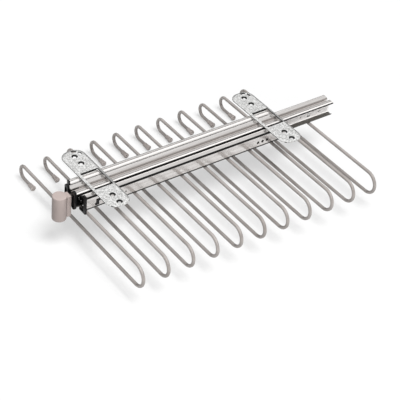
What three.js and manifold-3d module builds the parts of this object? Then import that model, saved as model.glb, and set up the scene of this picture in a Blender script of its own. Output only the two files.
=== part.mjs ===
// Pull-out trouser rack: eleven bent wires hang from a pair of ball-bearing slides under two ceiling
// brackets. Millimetres, +Z up. The origin is on the ceiling plane, midway between the brackets.
// The slides run along Y and pull out towards -Y, where the handle is. The closed loops of the wires
// point to +X (called near), their capped hooks to -X (called far).
import * as THREE from 'three';
import { mergeVertices } from 'three/addons/utils/BufferGeometryUtils.js';
import Module from 'manifold-3d';

const wasm = await Module();
wasm.setup();

// Fits
const seatGap = 0.3;
const runGap = 0.5;
const cutOverrun = 1;
const smallestStep = 0.01;

// Brackets
const bracketSpacing = 295;
const bracketWidth = 36;
const bracketNearMargin = 7.5;
const bracketFarMargin = 15.5;
const bracketEndRadius = 15;
const bracketPlate = 2;
const bracketRimDepth = 4;
const bracketRimWall = 1.6;
const windowReach = 20;
const windowWidth = 28.6;
const footWidth = 24;
const footReach = 3.4;
const footSheet = 1.6;
const screwInnerReach = 40;
const screwPitch = 17.5;
const screwHoleRadius = 2.3;
const screwSinkRadius = 4.4;
const endSlotRing = 11;
const endSlotWidth = 4.6;
const endSlotHalfTurnShares = [[0.52, 0.68], [0.76, 0.97]];

// Ball races, the same on every slide member
const ballRadius = 1.5;
const raceGap = 0.25;
const slideWall = 1.2;
const raceBendAngle = Math.PI / 4;
const cornerRadius = 2;
const cageWall = 0.8;
const ballsPerRow = 6;

// Fixed members
const fixedTopDrop = 5;
const fixedHeight = 20.7;
const fixedWebX = 24.5;
const fixedLipX = 14.2;
const fixedFrontOverhang = 32.5;
const fixedRearOverhang = 15.8;
const webHoleRadius = 1.7;
const webHolePitch = 8.2;
const webHoleCount = 3;
const webHoleRearInset = 33.2;
const webHoleRise = 7.7;
const catchFrontInset = 17.6;
const catchLength = 4;
const catchHeight = 9;
const catchRise = 3.2;
const catchProud = 0.6;
const markHoleRadius = 1.2;
const markHoleFrontInset = 65.3;

// Carrier members, back to back on the spine
const carrierTopDrop = 4.5;
const carrierHeight = 24;
const carrierWebX = 2;
const carrierLipX = 12;
const carrierFrontOverhang = 6.7;
const spineTopInset = 3;
const spineRearInset = 5;
const spineTongue = 6.4;
const rivetRadius = 1.7;
const rivetHeadRadius = 3.1;
const rivetHeadHeight = 0.6;
const rivetFrontInset = 12;
const rivetRearInset = 39;
const rivetRise = 8.3;
const stopSlotLength = 5;
const stopSlotHeight = 1.4;
const stopSlotRearInset = 18;
const stopHoleRadius = 1.3;
const stopHoleRearInset = 54.5;

// Middle members and ball cages
const travel = 340;
const middleFrontInset = 5;
const middleRearInset = 2;
const middleTipReach = 3.35;
const cageLength = 205;
const cageEndMargin = 8;
const cageTipInset = 0.9;
const cageWebGap = 0.9;

// End caps
const capThickness = 3.4;
const capOverTop = 4.6;
const capUnderCarrier = 1.3;
const capUnderFixed = 2;
const capSideProud = 1.2;
const capCornerRadius = 1.5;
const carrierCapInnerX = 5;
const carrierCapRound = 3.2;
const guardWidth = 7.5;
const guardProud = 4;
const guardThickness = 2.4;
const bumperInnerX = 14.8;
const bumperWidth = 4.7;
const bumperHeight = 6.2;
const bumperThickness = 2.2;

// Handle and neck
const handleRadius = 10.15;
const handleHeight = 39;
const handleEdge = 1;
const handleTopDrop = 6.5;
const neckHeight = 34;
const neckTopDrop = 9.5;
const neckWidth = 12;
const neckReach = 5;

// Wires
const hangerCount = 11;
const hangerPitch = 40;
const hangerFrontInset = 10;
const hangerRearMargin = 41;
const wireRadius = 2.5;
const nearTipX = 163.5;
const nearBendRadius = 17;
const farTipX = 155;
const farBendRadius = 10.9;
const returnEndX = 11.4;
const shortLegLength = 26;

// Wire caps
const capLength = 12;
const capMouthRadius = 3.3;
const capEndRadius = 4.2;
const capSeatDepth = 8;
const capEndEdge = 1;

// Facets
const wireSides = 8;
const nearBendSteps = 11;
const farBendSteps = 8;
const sheetBendSteps = 3;
const roundSteps = 24;
const capSteps = 9;
const holeSteps = 12;
const endArcSteps = 4;

// Places that follow from the sizes above
const bracketNearReach = screwInnerReach + screwPitch + bracketNearMargin;
const bracketFarReach = screwInnerReach + screwPitch + bracketFarMargin;
const railFrontY = -bracketSpacing / 2 - fixedFrontOverhang;
const railRearY = bracketSpacing / 2 + fixedRearOverhang;
const carrierFrontY = railFrontY - carrierFrontOverhang;
const carrierRearY = carrierFrontY + hangerFrontInset + (hangerCount - 1) * hangerPitch + hangerRearMargin;
const middleFrontY = railFrontY + middleFrontInset;
const middleRearY = railRearY - middleRearInset;
const fixedTopZ = -fixedTopDrop;
const fixedBottomZ = fixedTopZ - fixedHeight;
const carrierTopZ = -carrierTopDrop;
const carrierBottomZ = carrierTopZ - carrierHeight;
const raceRadius = ballRadius + raceGap + slideWall / 2;
const raceOuterRadius = raceRadius + slideWall / 2;
const raceFlatRise = raceRadius * Math.sin(raceBendAngle);
const returnLegZ = carrierBottomZ - seatGap - wireRadius;
const longBarZ = returnLegZ - 2 * nearBendRadius;
const shortLegZ = longBarZ - 2 * farBendRadius;
const spineHalf = carrierWebX - seatGap;

const zinc = () => new THREE.MeshStandardMaterial({ color: 0xc9c6c3, roughness: 0.32, metalness: 0.95 });
const darkSteel = () => new THREE.MeshStandardMaterial(
  { color: 0x9a9792, roughness: 0.35, metalness: 0.95 });
const mokaPaint = () => new THREE.MeshStandardMaterial(
  { color: 0xa5988f, roughness: 0.45, metalness: 0.15 });
const mokaPlastic = () => new THREE.MeshStandardMaterial({ color: 0xada29b, roughness: 0.55, metalness: 0 });
const blackPlastic = () => new THREE.MeshStandardMaterial({ color: 0x1c1c1d, roughness: 0.5, metalness: 0 });
const ballSteel = () => new THREE.MeshStandardMaterial({ color: 0xd8d8d8, roughness: 0.2, metalness: 1 });

const rack = new THREE.Group();

function addMesh(name, geometry, material) {
  const mesh = new THREE.Mesh(geometry, material);
  mesh.name = name;
  rack.add(mesh);
  return mesh;
}

// Solids for the joins and cuts
function toSolid(geometry) {
  const bare = geometry.index ? geometry.toNonIndexed() : geometry.clone();
  bare.deleteAttribute('normal');
  bare.deleteAttribute('uv');
  const merged = mergeVertices(bare);
  return new wasm.Manifold(new wasm.Mesh({
    numProp: 3,
    vertProperties: new Float32Array(merged.attributes.position.array),
    triVerts: new Uint32Array(merged.index.array),
  }));
}

function toGeometry(solid) {
  const { vertProperties, triVerts, numProp } = solid.getMesh();
  const geometry = new THREE.BufferGeometry();
  const count = vertProperties.length / numProp;
  const positions = new Float32Array(3 * count);
  for (let i = 0; i < count; i += 1) {
    for (let axis = 0; axis < 3; axis += 1) positions[3 * i + axis] = vertProperties[numProp * i + axis];
  }
  geometry.setAttribute('position', new THREE.BufferAttribute(positions, 3));
  geometry.setIndex(new THREE.BufferAttribute(new Uint32Array(triVerts), 1));
  const flat = geometry.toNonIndexed();
  flat.computeVertexNormals();
  return flat;
}

function cut(geometry, tools) {
  return toGeometry(tools.reduce((solid, tool) => solid.subtract(toSolid(tool)), toSolid(geometry)));
}

function join(geometries) {
  const [first, ...rest] = geometries.map(toSolid);
  return toGeometry(rest.reduce((solid, piece) => solid.add(piece), first));
}

// A shape drawn in X and Z, run along Y from front to rear
function alongY(shape, front, rear, curveSegments = sheetBendSteps) {
  const geometry = new THREE.ExtrudeGeometry(shape, {
    depth: rear - front, steps: 1, bevelEnabled: false, curveSegments,
  });
  return geometry.rotateX(Math.PI / 2).translate(0, rear, 0);
}

// A shape drawn in X and Y, run along Z from bottom to top
function alongZ(shape, bottom, top, curveSegments = endArcSteps) {
  const geometry = new THREE.ExtrudeGeometry(shape, {
    depth: top - bottom, steps: 1, bevelEnabled: false, curveSegments,
  });
  return geometry.translate(0, 0, bottom);
}

function boxBetween(low, high) {
  const size = high.map((value, axis) => value - low[axis]);
  const middle = high.map((value, axis) => (value + low[axis]) / 2);
  return new THREE.BoxGeometry(...size).translate(...middle);
}

function mirrorX(geometry) {
  const mirrored = geometry.index ? geometry.toNonIndexed() : geometry.clone();
  mirrored.deleteAttribute('uv');
  mirrored.scale(-1, 1, 1);
  const position = mirrored.attributes.position;
  const corner = new THREE.Vector3();
  const other = new THREE.Vector3();
  for (let i = 0; i < position.count; i += 3) {
    corner.fromBufferAttribute(position, i + 1);
    other.fromBufferAttribute(position, i + 2);
    position.setXYZ(i + 1, other.x, other.y, other.z);
    position.setXYZ(i + 2, corner.x, corner.y, corner.z);
  }
  mirrored.computeVertexNormals();
  return mirrored;
}

// The outline of a sheet of even wall that follows a bent line
function sheetOutline(line, wall) {
  const points = line.getPoints(sheetBendSteps).filter((point, i, all) => (
    i === 0 || point.distanceTo(all[i - 1]) > smallestStep));
  const ways = points.slice(1).map((point, i) => point.clone().sub(points[i]).normalize());
  const offset = (side) => points.map((point, i) => {
    const before = ways[Math.max(i - 1, 0)];
    const after = ways[Math.min(i, ways.length - 1)];
    const across = new THREE.Vector2(-before.y - after.y, before.x + after.x).normalize();
    const stretch = 1 / (across.x * -after.y + across.y * after.x);
    return point.clone().addScaledVector(across, side * stretch * wall / 2);
  });
  return new THREE.Shape([...offset(1), ...offset(-1).reverse()]);
}

function roundedRect(left, right, bottom, top, radius) {
  const shape = new THREE.Shape();
  shape.moveTo(left + radius, bottom);
  shape.lineTo(right - radius, bottom);
  shape.absarc(right - radius, bottom + radius, radius, -Math.PI / 2, 0);
  shape.lineTo(right, top - radius);
  shape.absarc(right - radius, top - radius, radius, 0, Math.PI / 2);
  shape.lineTo(left + radius, top);
  shape.absarc(left + radius, top - radius, radius, Math.PI / 2, Math.PI);
  shape.lineTo(left, bottom + radius);
  shape.absarc(left + radius, bottom + radius, radius, Math.PI, 1.5 * Math.PI);
  return shape;
}

// Slide members. Each is a C of sheet metal whose flanges wrap the balls in curved races. It is drawn
// with its web at webX and its lips towards lipX, for the near side.
function raceCentres(lipX, webX, topZ, bottomZ) {
  const towardsWeb = Math.sign(webX - lipX);
  const x = lipX + towardsWeb * raceOuterRadius;
  return { x, topZ: topZ - raceOuterRadius, bottomZ: bottomZ + raceOuterRadius, towardsWeb };
}

// The line turns clockwise in X and Z when the web is to the right, from the top lip to the bottom lip.
function channelLine(lipX, webX, topZ, bottomZ) {
  const { x, topZ: ballTop, bottomZ: ballBottom, towardsWeb } = raceCentres(lipX, webX, topZ, bottomZ);
  const right = towardsWeb > 0;
  const lipAngle = right ? Math.PI : 0;
  const topEnd = right ? raceBendAngle : Math.PI - raceBendAngle;
  const webMiddle = webX - towardsWeb * slideWall / 2;
  const cornerX = webMiddle - towardsWeb * cornerRadius;
  const flatTop = ballTop + raceFlatRise;
  const flatBottom = ballBottom - raceFlatRise;
  const line = new THREE.Path();
  line.absarc(x, ballTop, raceRadius, lipAngle, topEnd, right);
  line.lineTo(cornerX, flatTop);
  line.absarc(cornerX, flatTop - cornerRadius, cornerRadius, Math.PI / 2, right ? 0 : Math.PI, right);
  line.lineTo(webMiddle, flatBottom + cornerRadius);
  line.absarc(cornerX, flatBottom + cornerRadius, cornerRadius, right ? 0 : Math.PI,
    right ? -Math.PI / 2 : 1.5 * Math.PI, right);
  line.lineTo(x + towardsWeb * raceFlatRise, flatBottom);
  line.absarc(x, ballBottom, raceRadius, right ? -raceBendAngle : Math.PI + raceBendAngle,
    right ? -Math.PI : 2 * Math.PI, right);
  return line;
}

// Half of the middle member: a smaller C that runs inside a channel, with its own races under the balls
function middleLine(webX, races) {
  const { x, topZ: ballTop, bottomZ: ballBottom, towardsWeb } = races;
  const right = towardsWeb > 0;
  const tipX = x + towardsWeb * middleTipReach;
  const flatTop = ballTop - raceFlatRise;
  const flatBottom = ballBottom + raceFlatRise;
  const line = new THREE.Path();
  line.moveTo(tipX, flatTop);
  line.lineTo(x + towardsWeb * raceFlatRise, flatTop);
  line.absarc(x, ballTop, raceRadius, right ? -raceBendAngle : Math.PI + raceBendAngle,
    right ? -Math.PI + raceBendAngle : 2 * Math.PI - raceBendAngle, right);
  line.lineTo(webX, flatTop);
  line.lineTo(webX, flatBottom);
  line.lineTo(x - towardsWeb * raceFlatRise, flatBottom);
  line.absarc(x, ballBottom, raceRadius, right ? Math.PI - raceBendAngle : raceBendAngle,
    right ? raceBendAngle : Math.PI - raceBendAngle, right);
  line.lineTo(tipX, flatBottom);
  return line;
}

function cageLine(races, webX) {
  const { x, topZ, bottomZ, towardsWeb } = races;
  const stripX = webX - towardsWeb * (slideWall + cageWebGap + cageWall / 2);
  const tipX = x - towardsWeb * cageTipInset;
  const line = new THREE.Path();
  line.moveTo(tipX, topZ);
  line.lineTo(stripX - towardsWeb * cageWall, topZ);
  line.lineTo(stripX, topZ - cageWall);
  line.lineTo(stripX, bottomZ + cageWall);
  line.lineTo(stripX - towardsWeb * cageWall, bottomZ);
  line.lineTo(tipX, bottomZ);
  return line;
}

const fixedRaces = raceCentres(fixedLipX, fixedWebX, fixedTopZ, fixedBottomZ);
const carrierRaces = raceCentres(carrierLipX, carrierWebX, carrierTopZ, carrierBottomZ);

function crossHole(x, y, z, radius, length) {
  return new THREE.CylinderGeometry(radius, radius, length, holeSteps)
    .rotateZ(Math.PI / 2).translate(x, y, z);
}

function fixedMember() {
  const channel = alongY(sheetOutline(channelLine(fixedLipX, fixedWebX, fixedTopZ, fixedBottomZ), slideWall),
    railFrontY, railRearY);
  const cutLength = slideWall + 2 * cutOverrun;
  const webMiddle = fixedWebX - slideWall / 2;
  const rowZ = fixedBottomZ + webHoleRise;
  const holes = [];
  for (let i = 0; i < webHoleCount; i += 1) {
    const y = railRearY - webHoleRearInset - i * webHolePitch;
    holes.push(crossHole(webMiddle, y, rowZ, webHoleRadius, cutLength));
  }
  holes.push(crossHole(webMiddle, railFrontY + markHoleFrontInset, rowZ, markHoleRadius, cutLength));
  const catchFront = railFrontY + catchFrontInset;
  const catchBottom = fixedBottomZ + catchRise;
  holes.push(boxBetween(
    [webMiddle - cutLength / 2, catchFront - seatGap, catchBottom - seatGap],
    [webMiddle + cutLength / 2, catchFront + catchLength + seatGap, catchBottom + catchHeight + seatGap],
  ));
  return cut(channel, holes);
}

// A moulded catch clipped through the web's window, with a head that laps the web on the outside
function slideCatch() {
  const front = railFrontY + catchFrontInset;
  const bottom = fixedBottomZ + catchRise;
  const inner = fixedWebX - slideWall;
  const outer = fixedWebX + seatGap + catchProud;
  const stem = boxBetween([inner, front, bottom], [outer, front + catchLength, bottom + catchHeight]);
  const lapLow = boxBetween([fixedWebX + seatGap, front - catchLength / 2, bottom],
    [outer, front + catchLength, bottom + catchHeight / 3]);
  const lapHigh = boxBetween([fixedWebX + seatGap, front, bottom + 2 * catchHeight / 3],
    [outer, front + 1.5 * catchLength, bottom + catchHeight]);
  return join([stem, lapLow, lapHigh]);
}

function carrierMember() {
  const line = channelLine(carrierLipX, carrierWebX, carrierTopZ, carrierBottomZ);
  const channel = alongY(sheetOutline(line, slideWall), carrierFrontY, carrierRearY);
  const cutLength = slideWall + 2 * cutOverrun;
  const webMiddle = carrierWebX + slideWall / 2;
  const holes = rivetPlaces().map(([y, z]) => crossHole(webMiddle, y, z, rivetRadius + seatGap, cutLength));
  const slotY = carrierRearY - stopSlotRearInset;
  const slotZ = carrierBottomZ + rivetRise;
  holes.push(crossHole(webMiddle, carrierRearY - stopHoleRearInset, slotZ, stopHoleRadius, cutLength));
  holes.push(boxBetween(
    [webMiddle - cutLength / 2, slotY - stopSlotLength / 2, slotZ - stopSlotHeight / 2],
    [webMiddle + cutLength / 2, slotY + stopSlotLength / 2, slotZ + stopSlotHeight / 2],
  ));
  return cut(channel, holes);
}

function rivetPlaces() {
  const z = carrierBottomZ + rivetRise;
  return [[carrierFrontY + rivetFrontInset, z], [carrierRearY - rivetRearInset, z]];
}

// A double-headed rivet through both carriers and the spine
function rivet([y, z]) {
  const headInner = carrierWebX + slideWall + seatGap;
  const headOuter = headInner + rivetHeadHeight;
  const profile = [
    [0, -headOuter], [rivetHeadRadius - rivetHeadHeight / 2, -headOuter], [rivetHeadRadius, -headInner],
    [rivetRadius, -headInner], [rivetRadius, headInner],
    [rivetHeadRadius, headInner], [rivetHeadRadius - rivetHeadHeight / 2, headOuter], [0, headOuter],
  ].map(([radius, along]) => new THREE.Vector2(radius, along));
  return new THREE.LatheGeometry(profile, holeSteps).rotateZ(-Math.PI / 2).translate(0, y, z);
}

function middleMember() {
  const webX = (fixedLipX + carrierLipX) / 2;
  const halves = [fixedRaces, carrierRaces].map((races) => (
    alongY(sheetOutline(middleLine(webX, races), slideWall), middleFrontY, middleRearY)));
  return join(halves);
}

// A ball cage: a thin C with a row of balls along each flange
function ballCage(races, webX, front) {
  const strip = alongY(sheetOutline(cageLine(races, webX), cageWall), front, front + cageLength);
  const pitch = cageLength / ballsPerRow;
  const balls = [];
  for (const z of [races.topZ, races.bottomZ]) {
    for (let i = 0; i < ballsPerRow; i += 1) {
      const ball = new THREE.OctahedronGeometry(ballRadius, 1);
      balls.push(ball.translate(races.x, front + (i + 1 / 2) * pitch, z));
    }
  }
  return join([strip, ...balls]);
}

function spine() {
  const plate = boxBetween(
    [-spineHalf, carrierFrontY - spineTongue, carrierBottomZ],
    [spineHalf, carrierRearY - spineRearInset, carrierTopZ - spineTopInset],
  );
  const tongueCut = boxBetween(
    [-spineHalf - cutOverrun, carrierFrontY - spineTongue - cutOverrun, carrierBottomZ - cutOverrun],
    [spineHalf + cutOverrun, carrierFrontY, tongueBottomZ()],
  );
  const topCut = boxBetween(
    [-spineHalf - cutOverrun, carrierFrontY - spineTongue - cutOverrun, tongueTopZ()],
    [spineHalf + cutOverrun, carrierFrontY, carrierTopZ],
  );
  const holes = rivetPlaces().map(([y, z]) => (
    crossHole(0, y, z, rivetRadius + seatGap, 2 * (spineHalf + cutOverrun))));
  return cut(plate, [tongueCut, topCut, ...holes]);
}

// The tongue of the spine that enters the neck
function tongueTopZ() {
  return -neckTopDrop - neckHeight / 6;
}

function tongueBottomZ() {
  return carrierBottomZ + slideWall;
}

// Black front pieces. The near fixed member has a C with a guard beside the web, which lets the middle
// member run through it.
function fixedCap() {
  const outer = fixedWebX + guardProud;
  const bottom = fixedBottomZ - capUnderFixed;
  const rear = railFrontY - seatGap;
  const front = rear - guardThickness;
  const inner = carrierLipX + runGap;
  const plate = alongY(roundedRect(inner, outer, bottom, fixedTopZ, capCornerRadius), front, rear);
  const guardTop = fixedTopZ + capOverTop;
  const guard = alongY(roundedRect(outer - guardWidth, outer, bottom, guardTop, capCornerRadius),
    front, rear);
  const middleBottom = carrierRaces.bottomZ + raceFlatRise - slideWall / 2;
  const mouth = boxBetween(
    [carrierLipX, front - cutOverrun, middleBottom - runGap],
    [fixedWebX - slideWall - seatGap, rear + cutOverrun, fixedTopZ - slideWall - seatGap],
  );
  return cut(join([plate, guard]), [mouth]);
}

// The far fixed member has a plain bumper on its top flange.
function flangeBumper() {
  const rear = railFrontY - seatGap;
  const top = fixedRaces.topZ + raceFlatRise + slideWall + bumperHeight / 2;
  return alongY(roundedRect(-bumperInnerX - bumperWidth, -bumperInnerX, top - bumperHeight, top,
    capCornerRadius / 2), rear - bumperThickness, rear);
}

function middleBumper() {
  const rear = middleFrontY - seatGap;
  const shape = roundedRect(carrierRaces.x + carrierRaces.towardsWeb * middleTipReach,
    fixedRaces.x + fixedRaces.towardsWeb * middleTipReach,
    fixedRaces.bottomZ + raceFlatRise, fixedRaces.topZ - raceFlatRise, capCornerRadius);
  return alongY(shape, rear - bumperThickness, rear);
}

function carrierCap() {
  const outer = carrierLipX + capSideProud;
  const shape = roundedRect(carrierCapInnerX, outer,
    carrierBottomZ - capUnderCarrier, fixedTopZ + capOverTop, carrierCapRound);
  const rear = carrierFrontY - seatGap;
  const plate = alongY(shape, rear - capThickness, rear);
  const dish = boxBetween(
    [carrierCapInnerX + capSideProud, rear - capThickness - cutOverrun, carrierBottomZ + capSideProud],
    [outer - capSideProud, rear - capThickness / 2, carrierTopZ - capSideProud],
  );
  return cut(plate, [dish]);
}

function handleAxisY() {
  return carrierFrontY - seatGap - capThickness - seatGap - neckReach - seatGap - handleRadius;
}

function handle() {
  const profile = [
    [0, -handleHeight], [handleRadius - handleEdge, -handleHeight],
    [handleRadius, handleEdge - handleHeight], [handleRadius, -handleEdge],
    [handleRadius - handleEdge, 0], [0, 0],
  ].map(([radius, along]) => new THREE.Vector2(radius, along));
  return new THREE.LatheGeometry(profile, roundSteps).rotateX(Math.PI / 2)
    .translate(0, handleAxisY(), -handleTopDrop);
}

// The neck is slotted over the spine's tongue and hollowed to the handle's round.
function neck() {
  const rear = carrierFrontY - seatGap - capThickness - seatGap;
  const top = -neckTopDrop;
  const front = rear - neckReach - handleRadius / 2;
  const block = boxBetween([-neckWidth / 2, front, top - neckHeight], [neckWidth / 2, rear, top]);
  const round = new THREE.CylinderGeometry(handleRadius + seatGap, handleRadius + seatGap,
    neckHeight + 2 * cutOverrun, roundSteps).rotateX(Math.PI / 2)
    .translate(0, handleAxisY(), top - neckHeight / 2);
  const slot = boxBetween(
    [-spineHalf - seatGap, carrierFrontY - spineTongue - seatGap, tongueBottomZ() - seatGap],
    [spineHalf + seatGap, rear + cutOverrun, tongueTopZ() + seatGap],
  );
  return cut(block, [round, slot]);
}

// Brackets: a stamped plate with a turned-down rim, a window over the slides and four sunk screw holes
function bracketOutline(inset) {
  const near = bracketNearReach - inset;
  const far = -bracketFarReach + inset;
  const half = bracketWidth / 2 - inset;
  return roundedRect(far, near, -half, half, bracketEndRadius - inset);
}

function endSlot(fromAngle, toAngle) {
  const centreX = -screwInnerReach - screwPitch;
  const inner = endSlotRing - endSlotWidth / 2;
  const outer = endSlotRing + endSlotWidth / 2;
  const shape = new THREE.Shape();
  shape.absarc(centreX, 0, outer, fromAngle, toAngle);
  shape.absarc(centreX, 0, inner, toAngle, fromAngle, true);
  return shape;
}

function bracket() {
  const deep = -bracketRimDepth - cutOverrun;
  const shell = alongZ(bracketOutline(0), -bracketRimDepth, 0);
  const windowHalf = windowWidth / 2;
  const pockets = [
    [windowReach + bracketRimWall, bracketNearReach],
    [-bracketFarReach, -windowReach - bracketRimWall],
  ].map(([left, right]) => boxBetween(
    [left, -bracketWidth / 2, deep], [right, bracketWidth / 2, -bracketPlate]));
  const inside = toSolid(alongZ(bracketOutline(bracketRimWall), deep, -bracketPlate));
  const window = boxBetween([-windowReach, -windowHalf, deep], [windowReach, windowHalf, cutOverrun]);
  const sinkDepth = screwSinkRadius - screwHoleRadius;
  let solid = toSolid(shell);
  for (const pocket of pockets) solid = solid.subtract(inside.intersect(toSolid(pocket)));
  solid = solid.subtract(toSolid(window));
  for (const side of [-1, 1]) {
    for (const reach of [screwInnerReach, screwInnerReach + screwPitch]) {
      const depth = bracketRimDepth * 2;
      const hole = new THREE.CylinderGeometry(screwHoleRadius, screwHoleRadius, depth, holeSteps);
      const sink = new THREE.CylinderGeometry(screwSinkRadius + cutOverrun, screwHoleRadius,
        sinkDepth + cutOverrun, holeSteps);
      hole.rotateX(Math.PI / 2).translate(side * reach, 0, 0);
      sink.rotateX(Math.PI / 2).translate(side * reach, 0, (cutOverrun - sinkDepth) / 2);
      solid = solid.subtract(toSolid(hole)).subtract(toSolid(sink));
    }
  }
  for (const [from, to] of endSlotHalfTurnShares) {
    solid = solid.subtract(toSolid(alongZ(endSlot(from * Math.PI, to * Math.PI), deep, cutOverrun)));
  }
  for (const side of [-1, 1]) solid = solid.add(toSolid(bracketFoot(side)));
  return toGeometry(solid);
}

// A tab bent down from the window's edge, whose foot lies on the flat of the fixed member's flange
function bracketFoot(side) {
  const flatZ = fixedRaces.topZ + raceFlatRise + slideWall / 2;
  const bottom = flatZ + seatGap;
  const shape = new THREE.Shape();
  shape.moveTo(side * windowReach, -bracketPlate / 2);
  shape.lineTo(side * (windowReach + footSheet), -bracketPlate / 2);
  shape.lineTo(side * (windowReach + footSheet), bottom + footSheet);
  shape.lineTo(side * (windowReach + footReach), bottom + footSheet);
  shape.lineTo(side * (windowReach + footReach), bottom);
  shape.lineTo(side * windowReach, bottom);
  return alongY(shape, -footWidth / 2, footWidth / 2);
}

// A wire's path: its stations lie at the ends of its straights and round its bends.
class WirePath extends THREE.Curve {
  constructor(stations) {
    super();
    this.stations = stations;
  }

  at(u) {
    return this.stations[Math.round(u * (this.stations.length - 1))];
  }

  getPointAt(u, target = new THREE.Vector3()) {
    return target.copy(this.at(u).point);
  }

  getTangentAt(u, target = new THREE.Vector3()) {
    return target.copy(this.at(u).way);
  }
}

function bendStations(centreX, centreZ, radius, startAngle, turn, steps) {
  const stations = [];
  for (let i = 0; i <= steps; i += 1) {
    const angle = startAngle + turn * i / steps;
    const x = centreX + radius * Math.cos(angle);
    const point = new THREE.Vector3(x, 0, centreZ + radius * Math.sin(angle));
    const way = new THREE.Vector3(-Math.sin(angle), 0, Math.cos(angle)).multiplyScalar(Math.sign(turn));
    stations.push({ point, way });
  }
  return stations;
}

function hangerWire() {
  const nearCentreX = nearTipX - nearBendRadius;
  const farCentreX = farBendRadius - farTipX;
  const nearBend = bendStations(nearCentreX, longBarZ + nearBendRadius, nearBendRadius,
    Math.PI / 2, -Math.PI, nearBendSteps);
  const farBend = bendStations(farCentreX, longBarZ - farBendRadius, farBendRadius,
    Math.PI / 2, Math.PI, farBendSteps);
  const start = { point: new THREE.Vector3(-returnEndX, 0, returnLegZ), way: new THREE.Vector3(1, 0, 0) };
  const wireEndX = farCentreX + shortLegLength - capLength + capSeatDepth - seatGap;
  const end = { point: new THREE.Vector3(wireEndX, 0, shortLegZ), way: new THREE.Vector3(1, 0, 0) };
  const path = new WirePath([start, ...nearBend, ...farBend, end]);
  const section = new THREE.Shape();
  section.absarc(0, 0, wireRadius, 0, 2 * Math.PI);
  return new THREE.ExtrudeGeometry(section, {
    steps: path.stations.length - 1, extrudePath: path, curveSegments: wireSides / 2,
  });
}

// A moulded cap with a bore for the wire's end, flared towards its own end
function wireCap() {
  const bore = wireRadius + seatGap;
  const profile = [
    [0, capSeatDepth], [bore, capSeatDepth], [bore, 0], [capMouthRadius, 0],
    [capMouthRadius, capLength / 3], [capEndRadius, capLength - capEndEdge],
    [capEndRadius - capEndEdge, capLength], [0, capLength],
  ].map(([radius, along]) => new THREE.Vector2(radius, along));
  const endX = farBendRadius - farTipX + shortLegLength;
  return new THREE.LatheGeometry(profile, capSteps).rotateZ(-Math.PI / 2)
    .translate(endX - capLength, 0, shortLegZ);
}

// Assembly
for (const [name, y] of [['bracket_front', -bracketSpacing / 2], ['bracket_rear', bracketSpacing / 2]]) {
  addMesh(name, bracket(), zinc()).position.y = y;
}

const fixedCageFront = railFrontY + cageEndMargin + travel / 4;
const carrierCageFront = middleFrontY + cageEndMargin + travel / 4;
const sided = [
  ['fixed_slide', fixedMember(), zinc],
  ['slide_catch', slideCatch(), blackPlastic],
  ['middle_slide', middleMember(), darkSteel],
  ['middle_slide_bumper', middleBumper(), blackPlastic],
  ['outer_ball_cage', ballCage(fixedRaces, fixedWebX, fixedCageFront), ballSteel],
  ['inner_ball_cage', ballCage(carrierRaces, carrierWebX, carrierCageFront), ballSteel],
  ['carrier_slide', carrierMember(), zinc],
  ['carrier_slide_cap', carrierCap(), blackPlastic],
];
for (const [name, geometry, material] of sided) {
  addMesh(`${name}_near`, geometry, material());
  addMesh(`${name}_far`, mirrorX(geometry), material());
}

addMesh('fixed_slide_cap_near', fixedCap(), blackPlastic());
addMesh('fixed_slide_bumper_far', flangeBumper(), blackPlastic());
addMesh('carrier_spine', spine(), mokaPaint());
const rivetNames = ['spine_rivet_front', 'spine_rivet_rear'];
rivetPlaces().forEach((place, i) => addMesh(rivetNames[i], rivet(place), zinc()));
addMesh('handle_neck', neck(), mokaPlastic());
addMesh('handle', handle(), mokaPlastic());

for (let i = 0; i < hangerCount; i += 1) {
  const label = String(i + 1).padStart(2, '0');
  const y = carrierFrontY + hangerFrontInset + i * hangerPitch;
  addMesh(`hanger_wire_${label}`, hangerWire(), mokaPaint()).position.y = y;
  addMesh(`hanger_cap_${label}`, wireCap(), mokaPlastic()).position.y = y;
}

export default rack;
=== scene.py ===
import math

import bmesh
import bpy
from mathutils import Matrix, Vector


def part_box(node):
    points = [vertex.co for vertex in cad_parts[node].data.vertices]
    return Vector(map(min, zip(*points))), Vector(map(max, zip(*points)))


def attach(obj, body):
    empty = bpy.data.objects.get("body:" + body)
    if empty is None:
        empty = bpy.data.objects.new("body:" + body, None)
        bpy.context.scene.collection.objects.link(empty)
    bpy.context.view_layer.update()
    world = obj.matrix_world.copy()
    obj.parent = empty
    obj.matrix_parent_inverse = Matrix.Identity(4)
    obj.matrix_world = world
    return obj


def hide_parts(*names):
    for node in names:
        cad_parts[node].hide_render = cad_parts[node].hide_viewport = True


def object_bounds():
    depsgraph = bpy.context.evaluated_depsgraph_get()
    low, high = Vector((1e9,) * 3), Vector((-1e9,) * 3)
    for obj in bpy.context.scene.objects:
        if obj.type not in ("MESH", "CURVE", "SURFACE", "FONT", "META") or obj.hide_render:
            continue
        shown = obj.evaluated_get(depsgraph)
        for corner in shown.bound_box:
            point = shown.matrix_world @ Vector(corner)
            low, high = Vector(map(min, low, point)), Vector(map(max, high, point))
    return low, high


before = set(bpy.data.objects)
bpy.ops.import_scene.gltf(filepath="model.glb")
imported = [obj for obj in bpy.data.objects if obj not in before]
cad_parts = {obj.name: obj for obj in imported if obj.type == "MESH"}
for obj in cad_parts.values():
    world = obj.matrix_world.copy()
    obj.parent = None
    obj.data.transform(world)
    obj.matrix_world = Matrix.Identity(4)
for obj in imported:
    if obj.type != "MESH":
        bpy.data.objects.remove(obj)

mm = 0.001
weld = 1e-6  # points nearer than this, in metres, are one
level = math.radians(1)  # faces of a CAD node that bend less than this are one
quarter = math.pi / 2
white = (1, 1, 1, 1)
cadLow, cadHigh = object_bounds()


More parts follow.
